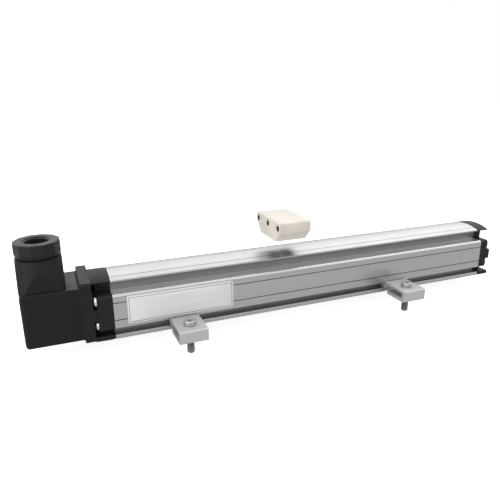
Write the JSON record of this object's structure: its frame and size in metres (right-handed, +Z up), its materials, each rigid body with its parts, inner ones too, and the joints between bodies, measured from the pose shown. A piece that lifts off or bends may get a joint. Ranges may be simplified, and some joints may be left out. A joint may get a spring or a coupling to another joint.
{
  "type": "magnetic linear scale",
  "caption": "Linear position sensor in an aluminium profile with a floating magnet block, dark end caps, square angle plug with cable gland, and foot clamps.",
  "frame": {"origin": "middle of the aluminium profile's flat underside, half way along its length", "axes": "+X along the profile from the plug to the plain end cap, +Z up out of the mounting surface through the magnet, +Y towards the side without the plate"},
  "size_m": [0.2926, 0.0706, 0.0623],
  "materials": {
    "anodised_profile": "satin natural anodised",
    "cap_plastic": "fine moulded black",
    "base_plastic": "fine moulded black",
    "plug_plastic": "moulded black",
    "nut_plastic": "smooth dark grey",
    "insert_plastic": "moulded dark grey",
    "seal_rubber": "soft black",
    "zinc_screw": "bright zinc",
    "clamp_metal": "satin",
    "label_film": "bare silver grey film",
    "magnet_plastic": "warm white moulded",
    "ferrite": "pressed ferrite",
    "contact_brass": "tinned",
    "white_rail": "natural white",
    "wave_wire": "drawn nickel iron wire",
    "coil_copper": "enamelled copper winding",
    "damper_rubber": "soft grey",
    "board_green": "green solder mask",
    "component_black": "moulded black",
    "lead_insulation": "coloured insulation"
  },
  "bodies": {
    "profile": {"profile_housing": "anodised_profile", "near_cap_gasket": "seal_rubber", "far_cap_gasket": "seal_rubber", "near_end_cap": "cap_plastic", "far_end_cap": "cap_plastic", "near_cap_screws": "zinc_screw", "far_cap_screws": "zinc_screw", "rating_plate": "label_film", "waveguide_rail": "white_rail", "waveguide_sleeve": "white_rail", "waveguide_wire": "wave_wire", "wave_damper": "damper_rubber", "pickup_housing": "white_rail", "pickup_coil": "coil_copper", "bias_magnet": "ferrite", "circuit_board": "board_green", "board_components": "component_black", "hookup_leads": "lead_insulation", "connector_base": "base_plastic", "base_seal": "seal_rubber", "thread_bush": "contact_brass", "base_screws": "zinc_screw", "contact_blades": "contact_brass", "earth_blade": "contact_brass"},
    "plug": {"plug_housing": "plug_plastic", "plug_insert": "insert_plastic", "terminal_clamps": "contact_brass", "terminal_screws": "zinc_screw", "plug_seal": "seal_rubber", "screw_seal": "seal_rubber", "gland_seal": "seal_rubber", "gland_washer": "white_rail"},
    "plug_screw": {"plug_screw": "zinc_screw"},
    "gland_nut": {"gland_nut": "nut_plastic"},
    "magnet": {"magnet_block": "magnet_plastic", "magnet_bars": "ferrite"},
    "near_front_clamp": {"near_front_clamp": "clamp_metal"},
    "near_front_clamp_screw": {"near_front_clamp_screw": "zinc_screw"},
    "near_rear_clamp": {"near_rear_clamp": "clamp_metal"},
    "near_rear_clamp_screw": {"near_rear_clamp_screw": "zinc_screw"},
    "far_front_clamp": {"far_front_clamp": "clamp_metal"},
    "far_front_clamp_screw": {"far_front_clamp_screw": "zinc_screw"},
    "far_rear_clamp": {"far_rear_clamp": "clamp_metal"},
    "far_rear_clamp_screw": {"far_rear_clamp_screw": "zinc_screw"}
  },
  "joints": [
    {"name": "magnet_travel", "type": "slide", "parent": "profile", "child": "magnet", "axis": [1, 0, 0], "range_m": [-0.051, 0.099]},
    {"name": "plug_pull", "type": "slide", "parent": "profile", "child": "plug", "axis": [-1, 0, 0], "range_m": [0, 0.02]},
    {"name": "plug_screw_turn", "type": "hinge", "parent": "plug", "child": "plug_screw", "pos_m": [-0.1636, 0, 0.01574], "axis": [1, 0, 0], "continuous": true},
    {"name": "gland_nut_turn", "type": "hinge", "parent": "plug", "child": "gland_nut", "pos_m": [-0.15265, 0, 0.0472], "axis": [0, 0, 1], "continuous": true},
    {"name": "near_front_clamp_slide", "type": "slide", "parent": "profile", "child": "near_front_clamp", "axis": [1, 0, 0], "range_m": [-0.028, 0.06]},
    {"name": "near_front_clamp_screw_turn", "type": "hinge", "parent": "near_front_clamp", "child": "near_front_clamp_screw", "pos_m": [-0.0842, -0.0273, 0.0068], "axis": [0, 0, 1], "continuous": true},
    {"name": "near_rear_clamp_slide", "type": "slide", "parent": "profile", "child": "near_rear_clamp", "axis": [1, 0, 0], "range_m": [-0.028, 0.06]},
    {"name": "near_rear_clamp_screw_turn", "type": "hinge", "parent": "near_rear_clamp", "child": "near_rear_clamp_screw", "pos_m": [-0.0842, 0.0273, 0.0068], "axis": [0, 0, 1], "continuous": true},
    {"name": "far_front_clamp_slide", "type": "slide", "parent": "profile", "child": "far_front_clamp", "axis": [1, 0, 0], "range_m": [-0.06, 0.057]},
    {"name": "far_front_clamp_screw_turn", "type": "hinge", "parent": "far_front_clamp", "child": "far_front_clamp_screw", "pos_m": [0.0525, -0.0273, 0.0068], "axis": [0, 0, 1], "continuous": true},
    {"name": "far_rear_clamp_slide", "type": "slide", "parent": "profile", "child": "far_rear_clamp", "axis": [1, 0, 0], "range_m": [-0.06, 0.057]},
    {"name": "far_rear_clamp_screw_turn", "type": "hinge", "parent": "far_rear_clamp", "child": "far_rear_clamp_screw", "pos_m": [0.0525, 0.0273, 0.0068], "axis": [0, 0, 1], "continuous": true}
  ]
}
